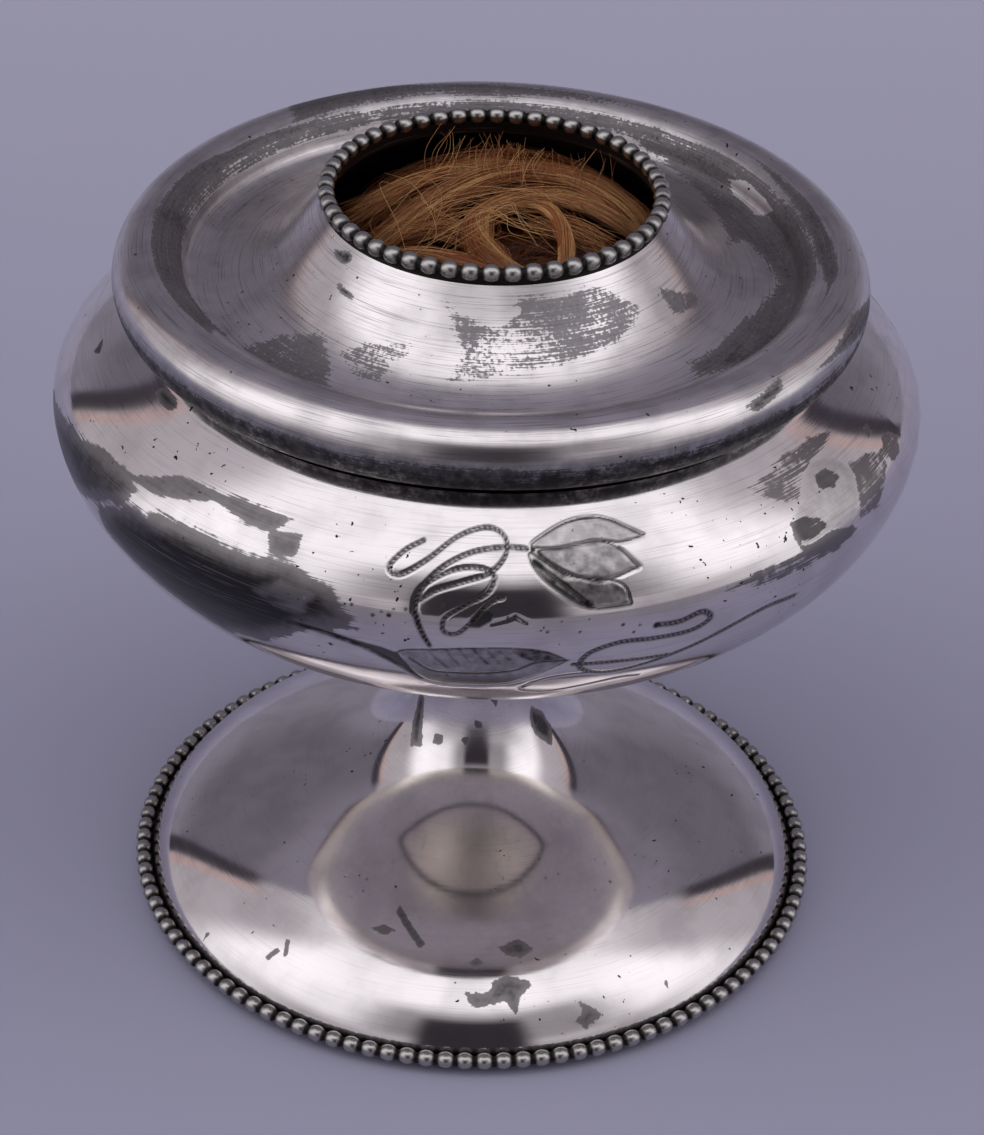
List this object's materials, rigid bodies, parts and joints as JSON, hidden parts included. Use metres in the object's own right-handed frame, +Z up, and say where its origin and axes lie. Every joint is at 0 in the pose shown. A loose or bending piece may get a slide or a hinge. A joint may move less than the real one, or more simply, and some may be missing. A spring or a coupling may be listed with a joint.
{
  "type": "hair receiver",
  "caption": "Round silver-plated hair receiver: low bowl on a beaded pedestal foot, lift-off cover with rolled rim and a beaded opening over a wad of hair.",
  "frame": {"origin": "middle of the foot on the table", "axes": "+Z up along the axis that every piece is turned about, -Y to the front of the picture, +X to its right"},
  "size_m": [0.11, 0.11, 0.1048],
  "materials": {
    "silver_plate": "worn silver plate with dark tarnish, fine scratches and spinning lines",
    "oxidised_silver": "oxidised silver plate, bright on the tops of the beads and black between them",
    "hair": "ginger hair, fine glossy strands"
  },
  "bodies": {
    "receiver": {"foot_shell": "silver_plate", "foot_bead_rim": "oxidised_silver", "stem_plate": "silver_plate", "bowl_shell": "silver_plate", "hair_wad": "hair"},
    "cover": {"cover_shell": "silver_plate", "cover_bezel": "silver_plate", "opening_bead_ring": "oxidised_silver"}
  },
  "joints": [
    {"name": "cover_lift", "type": "slide", "parent": "receiver", "child": "cover", "axis": [0, 0, 1], "range_m": [0, 0.05]}
  ]
}
